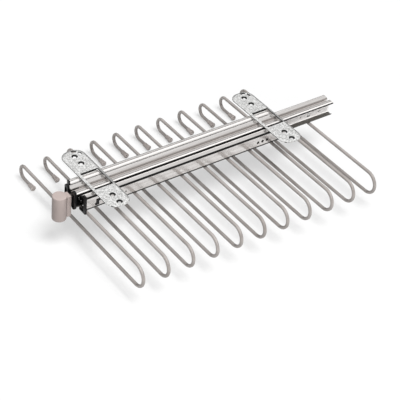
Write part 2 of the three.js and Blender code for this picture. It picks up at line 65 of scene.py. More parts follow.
def feed(tree, target, value):
    # a socket gets a value, or a link from the socket that feeds it
    if isinstance(value, bpy.types.NodeSocket):
        tree.links.new(value, target)
    else:
        target.default_value = value


def addNode(tree, kind, inputs=None, **settings):
    node = tree.nodes.new(kind)
    for key, value in settings.items():
        setattr(node, key, value)
    for key, value in (inputs or {}).items():
        feed(tree, node.inputs[key], value)
    return node


def newGroup(name, floats, results):
    # a shader effect that reads a vector and some numbers, and gives masks or heights
    group = bpy.data.node_groups.new(name, "ShaderNodeTree")
    group.interface.new_socket("Vector", in_out="INPUT", socket_type="NodeSocketVector")
    for label, value in floats.items():
        socket = group.interface.new_socket(label, in_out="INPUT", socket_type="NodeSocketFloat")
        socket.default_value = value
    for label in results:
        group.interface.new_socket(label, in_out="OUTPUT", socket_type="NodeSocketFloat")
    given = addNode(group, "NodeGroupInput").outputs
    return group, given, addNode(group, "NodeGroupOutput").inputs


def makeMottle():  # the cloudy, speckled look of plated sheet
    group, given, out = newGroup("sheetMottle", {"Grain": 900.0, "Cloud": 60.0, "Speckle": 0.5},
                                 ("Mask", "Height"))
    grain = addNode(group, "ShaderNodeTexVoronoi", {
        "Vector": given["Vector"], "Scale": given["Grain"]}, feature="SMOOTH_F1")
    cloud = addNode(group, "ShaderNodeTexNoise", {
        "Vector": given["Vector"], "Scale": given["Cloud"], "Detail": 4})
    mixed = addNode(group, "ShaderNodeMix", {
        0: given["Speckle"], 2: cloud.outputs[0], 3: grain.outputs["Distance"]}, data_type="FLOAT")
    feed(group, out["Mask"], mixed.outputs[0])
    feed(group, out["Height"], grain.outputs["Distance"])
    return group


def makeStreaks():  # marks that the rolls leave along a slide
    group, given, out = newGroup("rollingStreaks", {
        "Fine": 1400.0, "Broad": 260.0, "Share": 0.5, "Stretch": 0.02}, ("Mask", "Height"))
    squeeze = addNode(group, "ShaderNodeCombineXYZ", {"X": 1, "Y": given["Stretch"], "Z": 1})
    scaled = addNode(group, "ShaderNodeVectorMath", {
        0: given["Vector"], 1: squeeze.outputs[0]}, operation="MULTIPLY").outputs[0]
    fine = addNode(group, "ShaderNodeTexNoise", {
        "Vector": scaled, "Scale": given["Fine"], "Detail": 3}).outputs[0]
    broad = addNode(group, "ShaderNodeTexNoise", {
        "Vector": scaled, "Scale": given["Broad"]}).outputs[0]
    mixed = addNode(group, "ShaderNodeMix", {0: given["Share"], 2: fine, 3: broad},
                    data_type="FLOAT")
    feed(group, out["Mask"], mixed.outputs[0])
    feed(group, out["Height"], fine)
    return group


def makePeel():  # the orange peel of powder paint, and the texture of a mould
    group, given, out = newGroup("finePeel", {"Size": 1200.0, "Drift": 25.0}, ("Mask", "Height"))
    for result, scale, detail in (("Mask", "Drift", 3), ("Height", "Size", 2)):
        noise = addNode(group, "ShaderNodeTexNoise", {
            "Vector": given["Vector"], "Scale": given[scale], "Detail": detail})
        feed(group, out[result], noise.outputs[0])
    return group


# where a slide's section has its lips, webs, gaps and bends, by distance from the middle and height
sectionAt = {
    "Lip From": 9.4 * mm, "Lip To": 17.4 * mm, "Gap From": 11.3 * mm, "Gap To": 15.5 * mm,
    "Web From": 2.9 * mm, "Web To": 3.6 * mm, "Web Top": -7.5 * mm, "Groove Shade": 3.3 * mm,
    "Edge From": 9.8 * mm, "Edge To": 12.6 * mm, "Low From": 4 * mm,
    # behind their caps the carriers are painted black inside, up to this place along the slide
    "Sleeve End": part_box("carrier_slide_near")[0][1] + 12 * mm,
    "Sleeve Low": -28 * mm, "Sleeve Top": -6.2 * mm, "Corner X": 24 * mm,
    "Corner Top": -6.7 * mm, "Corner Bottom": -26.8 * mm, "Reach": 1.9 * mm,
    "Low Reach": 3.3 * mm, "Core": 0.75, "Middle": -20 * mm, "Blur": 0.3 * mm,
}
# the look of each place, in the order in which they are laid over each other
sectionLooks = {
    # painted highlight: the lips are pale and half matt, so they look lit where the zinc would
    # reflect dark
    "Painted Highlight Lips": {"Base Color": (220, 217, 215), "Roughness": 0.5, "Metallic": 0.35},
    # painted light: the carriers' webs are painted white and matt, though they lie in the shade of
    # their lips
    "Painted Light Web": {"Base Color": (255, 252, 250), "Roughness": 0.5, "Metallic": 0.0},
    # painted shade: the carriers' top bends beside the spine are painted darker, as the shade of
    # the deep groove
    "Groove Shade": {"Base Color": (150, 145, 142), "Roughness": 0.5, "Metallic": 0.5},
    # painted shade: the far carriers' lips are painted darker along their edge, on the far side
    # only
    "Edge": {"Base Color": (104, 102, 100), "Roughness": 0.5, "Metallic": 0.5},
    # painted shade: the lower flanges inside the members are painted dark, as shade under the upper
    # flanges
    "Low Race Shade": {"Base Color": (84, 82, 78), "Roughness": 0.4, "Metallic": 0.6},
    "Black Inside": {"Base Color": (14, 14, 15), "Roughness": 0.5, "Metallic": 0.0},
    # painted shade: black lines in the near gap between the lips and along the corners of the fixed
    # webs
    "Painted Shade Lines": {"Base Color": (12, 12, 12), "Roughness": 0.5, "Metallic": 0.2},
}


def makeSection():
    group, given, out = newGroup("slideSection", sectionAt, sectionLooks)
    parts = addNode(group, "ShaderNodeSeparateXYZ", {0: given["Vector"]}).outputs

    def calc(operation, *values):
        return addNode(group, "ShaderNodeMath", dict(enumerate(values)),
                       operation=operation).outputs[0]

    def soften(value, low, high):
        return addNode(group, "ShaderNodeMapRange", {
            "Value": value, "From Min": low, "From Max": high},
            interpolation_type="SMOOTHSTEP").outputs["Result"]

    def between(low, high, value):
        low, high = given[low], given[high]
        inside = soften(value, calc("SUBTRACT", low, given["Blur"]), low)
        return calc("SUBTRACT", inside, soften(value, high, calc("ADD", high, given["Blur"])))

    def outside(mask):
        return calc("SUBTRACT", 1.0, mask)

    x, z = calc("ABSOLUTE", parts["X"]), parts["Z"]
    upper = calc("GREATER_THAN", z, given["Middle"])
    bend = calc("GREATER_THAN", z, given["Web Top"])
    beyond = soften(x, given["Groove Shade"], calc("ADD", given["Groove Shade"], given["Blur"]))
    farSide = calc("MULTIPLY", parts["X"], -1.0)
    inward = outside(soften(x, given["Lip From"], given["Gap From"]))
    front = calc("LESS_THAN", parts["Y"], given["Sleeve End"])
    # painted shade in the gap between the near lips, and painted shade and dark reflection along
    # the top and bottom corners of the fixed webs
    dark = calc("MULTIPLY", between("Gap From", "Gap To", parts["X"]), upper)
    across = calc("SUBTRACT", x, given["Corner X"])
    for height, reach in (("Corner Top", "Reach"), ("Corner Bottom", "Low Reach")):
        rise = calc("SUBTRACT", z, given[height])
        far = calc("SQRT", calc("ADD", calc("MULTIPLY", across, across),
                                calc("MULTIPLY", rise, rise)))
        fade = soften(far, calc("MULTIPLY", given[reach], given["Core"]), given[reach])
        dark = calc("MAXIMUM", outside(fade), dark)
    masks = {
        "Painted Highlight Lips": calc("MULTIPLY", between("Lip From", "Lip To", x), upper),
        "Painted Light Web": calc("MULTIPLY", between("Web From", "Web To", x), outside(bend)),
        "Groove Shade": calc("MULTIPLY", outside(beyond), bend),
        "Edge": calc("MULTIPLY", between("Edge From", "Edge To", farSide), upper),
        "Low Race Shade": calc("MULTIPLY", between("Low From", "Lip To", x), outside(upper)),
        "Black Inside": calc("MULTIPLY", calc("MULTIPLY", inward, between("Sleeve Low", "Sleeve Top", z)),
                       front),
        "Painted Shade Lines": dark,
    }
    for label, mask in masks.items():
        feed(group, out[label], mask)
    return group


sheetMottle = makeMottle()
rollingStreaks = makeStreaks()
finePeel = makePeel()
slideSection = makeSection()
print("shader groups made")


def toLinear(colour):
    return [c / 255 / 12.92 if c <= 10 else ((c / 255 + 0.055) / 1.055) ** 2.4
            for c in colour] + [1]


def makeFinish(name, group, look):
    # the effect's mask runs from the dark to the light colour, and from rough to less rough
    material = bpy.data.materials.new(name)
    material.use_nodes = True
    tree = material.node_tree
    place = addNode(tree, "ShaderNodeTexCoord")
    effect = addNode(tree, "ShaderNodeGroup", {
        "Vector": place.outputs["Object"], **look["effect"]}, node_tree=group).outputs
    low, high = look["spread"]
    ramp = addNode(tree, "ShaderNodeValToRGB", {0: effect["Mask"]})
    for stop, position, colour in zip(ramp.color_ramp.elements, (low, high),
                                      (look["dark"], look["light"])):
        stop.position = position
        stop.color = toLinear(colour)
    rough = addNode(tree, "ShaderNodeMapRange", {
        "Value": effect["Mask"], "From Min": low, "From Max": high,
        "To Min": look["roughness"][0], "To Max": look["roughness"][1]})
    bump = addNode(tree, "ShaderNodeBump", {
        "Strength": look["bump"], "Distance": look["bumpDepth"], "Height": effect["Height"]})
    shader = tree.nodes["Principled BSDF"].inputs
    for label, value in {
            "Base Color": ramp.outputs["Color"], "Roughness": rough.outputs["Result"],
            "Normal": bump.outputs["Normal"], "Metallic": look["metallic"],
            **look.get("more", {})}.items():
        feed(tree, shader[label], value)
    return material


def blend(material, mask, values):
    # mixes the shader's present inputs towards other values where the mask is 1
    tree = material.node_tree
    for label, value in values.items():
        target = tree.nodes["Principled BSDF"].inputs[label]
        kind, first, second, result = "FLOAT", 2, 3, 0
        if label == "Base Color":
            kind, first, second, result = "RGBA", 6, 7, 2
            value = toLinear(value)
        present = target.links[0].from_socket if target.links else target.default_value
        node = addNode(tree, "ShaderNodeMix", {0: mask, first: present, second: value},
                       data_type=kind)
        feed(tree, target, node.outputs[result])


def markSection(material):
    tree = material.node_tree
    place = addNode(tree, "ShaderNodeTexCoord")
    section = addNode(tree, "ShaderNodeGroup", {
        "Vector": place.outputs["Object"], **sectionAt}, node_tree=slideSection)
    for label, values in sectionLooks.items():
        blend(material, section.outputs[label], values)


zincPlate = makeFinish("zincPlate", sheetMottle, {
    "effect": {"Grain": 560.0, "Cloud": 220.0, "Speckle": 0.6}, "spread": (0.25, 0.6),
    "dark": (184, 184, 182), "light": (255, 255, 254), "roughness": (0.42, 0.28), "metallic": 0.85,
    "bump": 0.5, "bumpDepth": 0.3 * mm,
})
zincSlide = makeFinish("zincSlide", rollingStreaks, {
    "effect": {"Fine": 1600.0, "Stretch": 0.02}, "spread": (0.3, 0.7),
    "dark": (200, 195, 192), "light": (240, 238, 236), "roughness": (0.26, 0.14), "metallic": 0.9,
    "bump": 0.25, "bumpDepth": 0.1 * mm,
})
markSection(zincSlide)
# painted shade: a near-black finish for the bracket's sheared walls, which stand in shadow
paintedShadeCut = makeFinish("paintedShadeCut", finePeel, {
    "effect": {"Size": 1500.0, "Drift": 200.0}, "spread": (0.3, 0.7),
    "dark": (18, 18, 18), "light": (38, 38, 37), "roughness": (0.5, 0.4), "metallic": 0.4,
    "bump": 0.3, "bumpDepth": 0.2 * mm,
})
zincDull = makeFinish("zincDull", finePeel, {
    "effect": {"Size": 1500.0, "Drift": 200.0}, "spread": (0.3, 0.7),
    "dark": (214, 213, 211), "light": (238, 237, 235), "roughness": (0.55, 0.45), "metallic": 0.2,
    "bump": 0.3, "bumpDepth": 0.2 * mm,
})
# painted shade: the middle members are painted darker than zinc, for what shows of them in the gaps
paintedShadeRace = makeFinish("paintedShadeRace", rollingStreaks, {
    "effect": {"Fine": 1300.0, "Stretch": 0.015}, "spread": (0.3, 0.7),
    "dark": (66, 62, 58), "light": (98, 92, 87), "roughness": (0.36, 0.26), "metallic": 0.75,
    "bump": 0.25, "bumpDepth": 0.1 * mm,
})
ballSteel = makeFinish("ballSteel", finePeel, {
    "effect": {"Size": 900.0, "Drift": 120.0}, "spread": (0.3, 0.7),
    "dark": (196, 196, 198), "light": (222, 222, 224), "roughness": (0.12, 0.06), "metallic": 1.0,
    "bump": 0.05, "bumpDepth": 0.1 * mm,
})
# painted shade: the cages are painted near black, as the shade inside the members
paintedShadeCage = makeFinish("paintedShadeCage", rollingStreaks, {
    "effect": {"Fine": 1500.0, "Stretch": 0.05}, "spread": (0.3, 0.7),
    "dark": (40, 39, 38), "light": (66, 64, 62), "roughness": (0.5, 0.4), "metallic": 0.6,
    "bump": 0.3, "bumpDepth": 0.1 * mm,
})
mokaPaint = makeFinish("mokaPaint", finePeel, {
    "effect": {"Size": 1100.0, "Drift": 30.0}, "spread": (0.3, 0.7),
    "dark": (152, 146, 142), "light": (170, 164, 161), "roughness": (0.36, 0.28), "metallic": 0.4,
    "bump": 0.3, "bumpDepth": 0.2 * mm,
})
mokaPlastic = makeFinish("mokaPlastic", finePeel, {
    "effect": {"Size": 1600.0, "Drift": 40.0}, "spread": (0.3, 0.7),
    "dark": (151, 139, 135), "light": (159, 147, 143), "roughness": (0.52, 0.44), "metallic": 0.0,
    "bump": 0.25, "bumpDepth": 0.1 * mm,
})
capRubber = makeFinish("capRubber", finePeel, {
    "effect": {"Size": 1300.0, "Drift": 60.0}, "spread": (0.3, 0.7),
    "dark": (168, 160, 156), "light": (180, 172, 168), "roughness": (0.62, 0.54), "metallic": 0.0,
    "bump": 0.25, "bumpDepth": 0.1 * mm,
})
blackPlastic = makeFinish("blackPlastic", finePeel, {
    "effect": {"Size": 1500.0, "Drift": 90.0}, "spread": (0.3, 0.7),
    "dark": (10, 10, 11), "light": (20, 19, 20), "roughness": (0.45, 0.35), "metallic": 0.0,
    "bump": 0.3, "bumpDepth": 0.2 * mm, "more": {"Specular IOR Level": 0.3},
})
print("finishes made")


def placed(name, data):
    piece = bpy.data.objects.new(name, data)
    bpy.context.scene.collection.objects.link(piece)
    return piece


def reworked(mesh, change):
    work = bmesh.new()
    work.from_mesh(mesh)
    change(work)
    work.to_mesh(mesh)
    work.free()


def closed(name, points, faces):
    # a new piece, welded, with its faces turned outward
    mesh = bpy.data.meshes.new(name)
    mesh.from_pydata([tuple(p) for p in points], [], faces)
    reworked(mesh, turnOutward)
    return placed(name, mesh)


def turnOutward(work):
    bmesh.ops.remove_doubles(work, verts=work.verts, dist=weld)
    bmesh.ops.recalc_face_normals(work, faces=work.faces)


def lofted(name, rings):
    # rings are lists of points of equal length, from the first end to the last
    count, last = len(rings[0]), len(rings) - 1
    faces = [list(range(count))[::-1], [last * count + i for i in range(count)]]
    for start in range(0, last * count, count):
        faces += [[start + i, start + (i + 1) % count,
                   start + count + (i + 1) % count, start + count + i] for i in range(count)]
    return closed(name, [p for ring in rings for p in ring], faces)


def extruded(name, outline, low, high, axis):
    # outline is in X and Z for axis "y", or in X and Y for axis "z"
    if axis == "y":
        return lofted(name, [[(a, height, b) for a, b in outline] for height in (low, high)])
    return lofted(name, [[(a, b, height) for a, b in outline] for height in (low, high)])


def turned(name, profile, steps, place, axis="z"):
    # profile is radius and height; its first and last radius are 0
    points, faces, rings = [], [], []
    for radius, height in profile:
        around = steps if radius else 1
        rings.append(list(range(len(points), len(points) + around)))
        for k in range(around):
            angle = 2 * math.pi * k / steps
            points.append((radius * math.cos(angle), radius * math.sin(angle), height))
    for lower, upper in zip(rings, rings[1:]):
        for k in range(steps):
            a, b = lower[k % len(lower)], lower[(k + 1) % len(lower)]
            c, d = upper[(k + 1) % len(upper)], upper[k % len(upper)]
            faces.append(list(dict.fromkeys((a, b, c, d))))
    lie = Matrix.Rotation(quarter, 4, "Y") if axis == "x" else Matrix.Identity(4)
    return closed(name, [lie @ Vector(p) + Vector(place) for p in points], faces)


def boxed(name, low, high):
    outline = [(low[0], low[1]), (high[0], low[1]), (high[0], high[1]), (low[0], high[1])]
    return extruded(name, outline, low[2], high[2], "z")


def merged(pieces, name):
    work = bmesh.new()
    for piece in pieces:
        work.from_mesh(piece.data)
        bpy.data.objects.remove(piece)
    mesh = bpy.data.meshes.new(name)
    work.to_mesh(mesh)
    work.free()
    return placed(name, mesh)


def baked(piece):
    # the modifiers' result becomes the piece's own plain mesh
    bpy.context.view_layer.update()
    evaluated = piece.evaluated_get(bpy.context.evaluated_depsgraph_get())
    mesh = bpy.data.meshes.new_from_object(evaluated)
    piece.modifiers.clear()
    piece.data = mesh
    mesh.name = piece.name


def carve(piece, cutter, how="DIFFERENCE"):
    change = piece.modifiers.new("carve", "BOOLEAN")
    change.operation = how
    change.object = cutter
    change.solver = "EXACT"
    baked(piece)
    bpy.data.objects.remove(cutter)
    return piece


def finished(piece, body, material, nodes, edge=0.0, segments=2, angle=32):
    mesh = piece.data
    painted = [face.material_index for face in mesh.polygons]
    mesh.materials.clear()
    for one in material if isinstance(material, list) else [material]:
        mesh.materials.append(one)
    mesh.polygons.foreach_set("material_index", painted)
    mesh.polygons.foreach_set("use_smooth", [True] * len(mesh.polygons))
    mesh.set_sharp_from_angle(angle=math.radians(angle))
    if edge:
        rounding = piece.modifiers.new("edge", "BEVEL")
        rounding.width = edge
        rounding.segments = segments
        rounding.limit_method = "ANGLE"
        rounding.angle_limit = math.radians(angle)
        rounding.harden_normals = True
        rounding.use_clamp_overlap = True
        baked(piece)
    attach(piece, body)
    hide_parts(*nodes)


def mirrored(piece, name):
    copy = placed(name, piece.data.copy())

    def flip(work):
        for v in work.verts:
            v.co.x = -v.co.x
        bmesh.ops.reverse_faces(work, faces=work.faces)

    reworked(copy.data, flip)
    return copy


def weldedCopy(node, name):
    # a CAD node's mesh is loose triangles, so its copy is merged and its flat faces made whole
    def heal(work):
        bmesh.ops.remove_doubles(work, verts=work.verts, dist=2 * weld)
        bmesh.ops.dissolve_limit(work, angle_limit=level, verts=work.verts, edges=work.edges)

    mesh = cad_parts[node].data.copy()
    reworked(mesh, heal)
    return placed(name, mesh)


def arc(cx, cy, radius, start, end, steps):
    angles = [start + (end - start) * i / steps for i in range(steps + 1)]
    return [(cx + radius * math.cos(a), cy + radius * math.sin(a)) for a in angles]


def roundedOutline(left, right, bottom, top, radius, steps):
    return (arc(right - radius, bottom + radius, radius, -quarter, 0, steps)
            + arc(right - radius, top - radius, radius, 0, quarter, steps)
            + arc(left + radius, top - radius, radius, quarter, 2 * quarter, steps)
            + arc(left + radius, bottom + radius, radius, 2 * quarter, 3 * quarter, steps))


def sheetOutline(line, wall):
    # the outline of a sheet of even thickness along a line, without points on top of each other
    points = [Vector(line[0])]
    for p in line[1:]:
        if (Vector(p) - points[-1]).length > 10 * weld:
            points.append(Vector(p))
    ways = [(b - a).normalized() for a, b in zip(points, points[1:])]
    sides = [[], []]
    for i, p in enumerate(points):
        before, after = ways[max(i - 1, 0)], ways[min(i, len(ways) - 1)]
        across = Vector((-before.y - after.y, before.x + after.x)).normalized()
        stretch = 1 / (across.x * -after.y + across.y * after.x)
        for side, sign in zip(sides, (1, -1)):
            side.append(p + across * (sign * stretch * wall / 2))
    return [tuple(p) for p in sides[0] + sides[1][::-1]]


def makeRepeatTree(name, asWire):
    # repeats its own geometry along the slides; a wire's path first gets its round section
    tree = bpy.data.node_groups.new(name, "GeometryNodeTree")
    inputs = {"Geometry": "Geometry", "Count": "Int", "Pitch": "Float", "Finish": "Material"}
    if asWire:
        inputs.update({"Wire Radius": "Float", "Wire Sides": "Int"})
    for label, kind in inputs.items():
        tree.interface.new_socket(label, in_out="INPUT", socket_type="NodeSocket" + kind)
    tree.interface.new_socket("Geometry", in_out="OUTPUT", socket_type="NodeSocketGeometry")
    given = addNode(tree, "NodeGroupInput").outputs
    shape = given["Geometry"]
    if asWire:
        path = addNode(tree, "GeometryNodeMeshToCurve", {"Mesh": shape})
        section = addNode(tree, "GeometryNodeCurvePrimitiveCircle", {
            "Radius": given["Wire Radius"], "Resolution": given["Wire Sides"]})
        shape = addNode(tree, "GeometryNodeCurveToMesh", {
            "Curve": path.outputs["Curve"], "Profile Curve": section.outputs["Curve"],
            "Fill Caps": True}).outputs["Mesh"]
    step = addNode(tree, "ShaderNodeCombineXYZ", {"Y": given["Pitch"]})
    row = addNode(tree, "GeometryNodeMeshLine", {
        "Count": given["Count"], "Offset": step.outputs[0]}, mode="OFFSET", count_mode="TOTAL")
    spread = addNode(tree, "GeometryNodeInstanceOnPoints", {
        "Points": row.outputs["Mesh"], "Instance": shape})
    real = addNode(tree, "GeometryNodeRealizeInstances", {"Geometry": spread.outputs["Instances"]})
    paint = addNode(tree, "GeometryNodeSetMaterial", {
        "Geometry": real.outputs["Geometry"], "Material": given["Finish"]})
    addNode(tree, "NodeGroupOutput", {"Geometry": paint.outputs["Geometry"]})
    return tree


wireTree = makeRepeatTree("bentWiresInARow", True)
rowTree = makeRepeatTree("piecesInARow", False)


def repeated(piece, tree, values):
    change = piece.modifiers.new("row", "NODES")
    change.node_group = tree
    sockets = {s.name: s.identifier for s in tree.interface.items_tree if s.in_out == "INPUT"}
    for label, value in values.items():
        change[sockets[label]] = value
    baked(piece)
    reworked(piece.data, turnOutward)
    return piece


print("node trees made")

cameraView = {
    "azimuth": 51.06, "elevation": 38.21, "roll": 5.66, "distance": 2055.85 * mm,
    "right": 9.9 * mm, "up": -33.69 * mm, "aim": (-5 * mm, 23.25 * mm, -65.5 * mm),
    "lens": 127.484, "sensor": 36,
}


def placeCamera(view):
    a, e, r = (math.radians(view[k]) for k in ("azimuth", "elevation", "roll"))
    back = Vector((math.sin(a) * math.cos(e), -math.cos(a) * math.cos(e), math.sin(e)))
    right = Vector((math.cos(a), math.sin(a), 0))
    up = back.cross(right)
    across = right * math.cos(r) + up * math.sin(r)
    above = up * math.cos(r) - right * math.sin(r)
    data = bpy.data.cameras.new("camera")
    data.lens = view["lens"]
    data.sensor_width = view["sensor"]
    camera = placed("camera", data)
    spot = Vector(view["aim"]) + back * view["distance"]
    spot += across * view["right"] + above * view["up"]
    camera.matrix_world = Matrix((
        (across.x, above.x, back.x, spot.x), (across.y, above.y, back.y, spot.y),
        (across.z, above.z, back.z, spot.z), (0, 0, 0, 1)))
    bpy.context.scene.camera = camera


placeCamera(cameraView)

slide = {
    "sheet": 1.2 * mm, "ballRadius": 1.5 * mm, "raceGap": 0.25 * mm, "raceAngle": math.pi / 4,
    "corner": 2 * mm, "tip": 3.35 * mm, "arcSteps": 8, "cornerSteps": 6, "edge": 0.16 * mm,
    "cageSheet": 0.8 * mm, "cageGap": 0.9 * mm, "cageTip": 0.9 * mm, "balls": 6,
    "ballSteps": 10, "pocket": 1.75 * mm, "pocketSteps": 8, "over": 1 * mm, "holeSteps": 28,
    "smallHoleSteps": 24,
    "deeper": 2.6 * mm,  # the fixed members' feet are this much lower than in the CAD
}
raceRadius = slide["ballRadius"] + slide["raceGap"] + slide["sheet"] / 2
raceOuter = raceRadius + slide["sheet"] / 2
raceRise = raceRadius * math.sin(slide["raceAngle"])


def boxOf(node):
    low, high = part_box(node)
    return Vector(low), Vector(high)


fixedLow, fixedHigh = boxOf("fixed_slide_near")
carrierLow, carrierHigh = boxOf("carrier_slide_near")
middleLow, middleHigh = boxOf("middle_slide_near")
fixedFoot = fixedLow.z - slide["deeper"]


def racesOf(lipX, webX, top, bottom):
    way = 1 if webX > lipX else -1
    return {"x": lipX + way * raceOuter, "top": top - raceOuter, "bottom": bottom + raceOuter,
            "way": way}


fixedRaces = racesOf(fixedLow.x, fixedHigh.x, fixedHigh.z, fixedFoot)
carrierRaces = racesOf(carrierHigh.x, carrierLow.x, carrierHigh.z, carrierLow.z)


def channelLine(webX, races):
    # from the top lip round its race, along the flange, down the web and back to the bottom lip
    x, way, corner, n = races["x"], races["way"], slide["corner"], slide["cornerSteps"]
    cornerX = webX - way * slide["sheet"] / 2 - way * corner
    flatTop, flatBottom = races["top"] + raceRise, races["bottom"] - raceRise
    if way > 0:
        lip, bend, side, lower = math.pi, slide["raceAngle"], 0, -quarter
        raceStart, lipEnd = -bend, -math.pi
    else:
        lip, bend, side, lower = 0, math.pi - slide["raceAngle"], math.pi, 1.5 * math.pi
        raceStart, lipEnd = math.pi + slide["raceAngle"], 2 * math.pi
    return (arc(x, races["top"], raceRadius, lip, bend, slide["arcSteps"])
            + arc(cornerX, flatTop - corner, corner, quarter, side, n)
            + arc(cornerX, flatBottom + corner, corner, side, lower, n)
            + arc(x, races["bottom"], raceRadius, raceStart, lipEnd, slide["arcSteps"]))


def middleLine(webX, races):
    x, way, a = races["x"], races["way"], slide["raceAngle"]
    tip = x + way * slide["tip"]
    flatTop, flatBottom = races["top"] - raceRise, races["bottom"] + raceRise
    top = (-a, -math.pi + a) if way > 0 else (math.pi + a, 2 * math.pi - a)
    bottom = (math.pi - a, a) if way > 0 else (a, math.pi - a)
    return ([(tip, flatTop)] + arc(x, races["top"], raceRadius, *top, slide["arcSteps"])
            + [(webX, flatTop), (webX, flatBottom)]
            + arc(x, races["bottom"], raceRadius, *bottom, slide["arcSteps"])
            + [(tip, flatBottom)])


def cageLine(races, webX):
    x, way, wall = races["x"], races["way"], slide["cageSheet"]
    strip = webX - way * (slide["sheet"] + slide["cageGap"] + wall / 2)
    tip, high, low = x - way * slide["cageTip"], races["top"], races["bottom"]
    return [(tip, high), (strip - way * wall, high), (strip, high - wall),
            (strip, low + wall), (strip - way * wall, low), (tip, low)]


def drill(radius, steps, x, y, z):
    # cuts a round hole through a web
    depth = slide["sheet"] + 2 * slide["over"]
    return turned("cutter", [(0, 0), (radius, 0), (radius, depth), (0, depth)], steps,
                  (x, y, z), "x")


fixedMember = {
    "holeRadius": 2.3 * mm, "holePitch": 8.2 * mm, "holes": 3, "holeInset": 33.2 * mm,
    "holeRise": 7.7 * mm, "markRadius": 1.2 * mm, "markInset": 65.3 * mm,
    "catchInset": 17.6 * mm, "catchLength": 4 * mm, "catchHeight": 9 * mm,
    "catchRise": 3.2 * mm, "gap": 0.3 * mm,
}


def makeFixedMember(part):
    outline = sheetOutline(channelLine(fixedHigh.x, fixedRaces), slide["sheet"])
    piece = extruded("fixedMemberNear", outline, fixedLow.y, fixedHigh.y, "y")
    row = fixedLow.z + part["holeRise"]
    inner = fixedHigh.x - slide["sheet"] - slide["over"]
    outer = inner + slide["sheet"] + 2 * slide["over"]
    cutters = []
    for i in range(part["holes"]):
        y = fixedHigh.y - part["holeInset"] - i * part["holePitch"]
        cutters.append(drill(part["holeRadius"], slide["holeSteps"], inner, y, row))
    cutters.append(drill(part["markRadius"], slide["smallHoleSteps"], inner,
                         fixedLow.y + part["markInset"], row))
    gap, front, foot = part["gap"], fixedLow.y + part["catchInset"], fixedLow.z + part["catchRise"]
    cutters.append(boxed("cutter", (inner, front - gap, foot - gap), (
        outer, front + part["catchLength"] + gap, foot + part["catchHeight"] + gap)))
    return carve(piece, merged(cutters, "cutters"))


carrierMember = {
    "rivetHole": 2 * mm, "rivetFront": 12 * mm, "rivetRear": 39 * mm, "rivetRise": 8.3 * mm,
    "slotLength": 5 * mm, "slotHeight": 1.4 * mm, "slotInset": 18 * mm,
    "stopHole": 1.3 * mm, "stopInset": 54.5 * mm,
}


def makeCarrierMember(part):
    outline = sheetOutline(channelLine(carrierLow.x, carrierRaces), slide["sheet"])
    piece = extruded("carrierMemberNear", outline, carrierLow.y, carrierHigh.y, "y")
    row = carrierLow.z + part["rivetRise"]
    start = carrierLow.x - slide["over"]
    end = start + slide["sheet"] + 2 * slide["over"]
    cutters = [drill(part["rivetHole"], slide["holeSteps"], start, y, row)
               for y in (carrierLow.y + part["rivetFront"], carrierHigh.y - part["rivetRear"])]
    cutters.append(drill(part["stopHole"], slide["smallHoleSteps"], start,
                         carrierHigh.y - part["stopInset"], row))
    y, long, tall = carrierHigh.y - part["slotInset"], part["slotLength"], part["slotHeight"]
    cutters.append(boxed("cutter", (start, y - long / 2, row - tall / 2),
                         (end, y + long / 2, row + tall / 2)))
    return carve(piece, merged(cutters, "cutters"))


def makeMiddleMember():
    web = (fixedLow.x + carrierHigh.x) / 2
    halves = [extruded("half", sheetOutline(middleLine(web, races), slide["sheet"]),
                       middleLow.y, middleHigh.y, "y") for races in (fixedRaces, carrierRaces)]
    return carve(halves[0], halves[1], "UNION")


def ballProfile(radius, steps):
    inner = [(radius * math.sin(math.pi * k / steps), -radius * math.cos(math.pi * k / steps))
             for k in range(1, steps)]
    return [(0, -radius)] + inner + [(0, radius)]


def makeCage(name, node, races, webX):
    low, high = boxOf(node)
    outline = sheetOutline(cageLine(races, webX), slide["cageSheet"])
    piece = extruded(name, outline, low.y, high.y, "y")
    pitch = (high.y - low.y) / slide["balls"]
    profile = ballProfile(slide["pocket"], slide["pocketSteps"])
    pockets = [turned("pocket", profile, 2 * slide["pocketSteps"],
                      (races["x"], low.y + (i + 0.5) * pitch, z))
               for i in range(slide["balls"]) for z in (races["top"], races["bottom"])]
    return carve(piece, merged(pockets, "pockets"))


def makeBalls(name, node, races):
    low, high = boxOf(node)
    pitch = (high.y - low.y) / slide["balls"]
    profile = ballProfile(slide["ballRadius"], slide["ballSteps"])
    pair = merged([turned("ball", profile, 2 * slide["ballSteps"],
                          (races["x"], low.y + pitch / 2, z))
                   for z in (races["top"], races["bottom"])], name)
    return repeated(pair, rowTree, {"Count": slide["balls"], "Pitch": pitch, "Finish": ballSteel})


def bothSides(piece, stem, body, material, node, edge):
    # body and node come without their _near or _far, which only a shared body never has
    piece.name = stem + "Near"
    far = mirrored(piece, stem + "Far")
    for one, side in ((piece, "_near"), (far, "_far")):
        ridden = body if body in ("frame", "carriage") else body + side
        finished(one, ridden, material, [node + side], edge)


bothSides(makeFixedMember(fixedMember), "fixedMember", "frame", zincSlide,
          "fixed_slide", slide["edge"])
bothSides(makeCarrierMember(carrierMember), "carrierMember", "carriage", zincSlide,
          "carrier_slide", slide["edge"])
bothSides(makeMiddleMember(), "middleMember", "middle_slide", paintedShadeRace,
          "middle_slide", slide["edge"])
cages = (("outer", fixedRaces, fixedHigh.x), ("inner", carrierRaces, carrierLow.x))
for stem, races, webX in cages:
    cage = stem + "_ball_cage"
    bothSides(makeCage(stem + "Cage", cage + "_near", races, webX), stem + "Cage", cage,
              paintedShadeCage, cage, 0)
for stem, races, webX in cages:
    cage = stem + "_ball_cage"
    bothSides(makeBalls(stem + "Balls", cage + "_near", races), stem + "Balls", cage,
              ballSteel, cage, 0)
print("slides made")

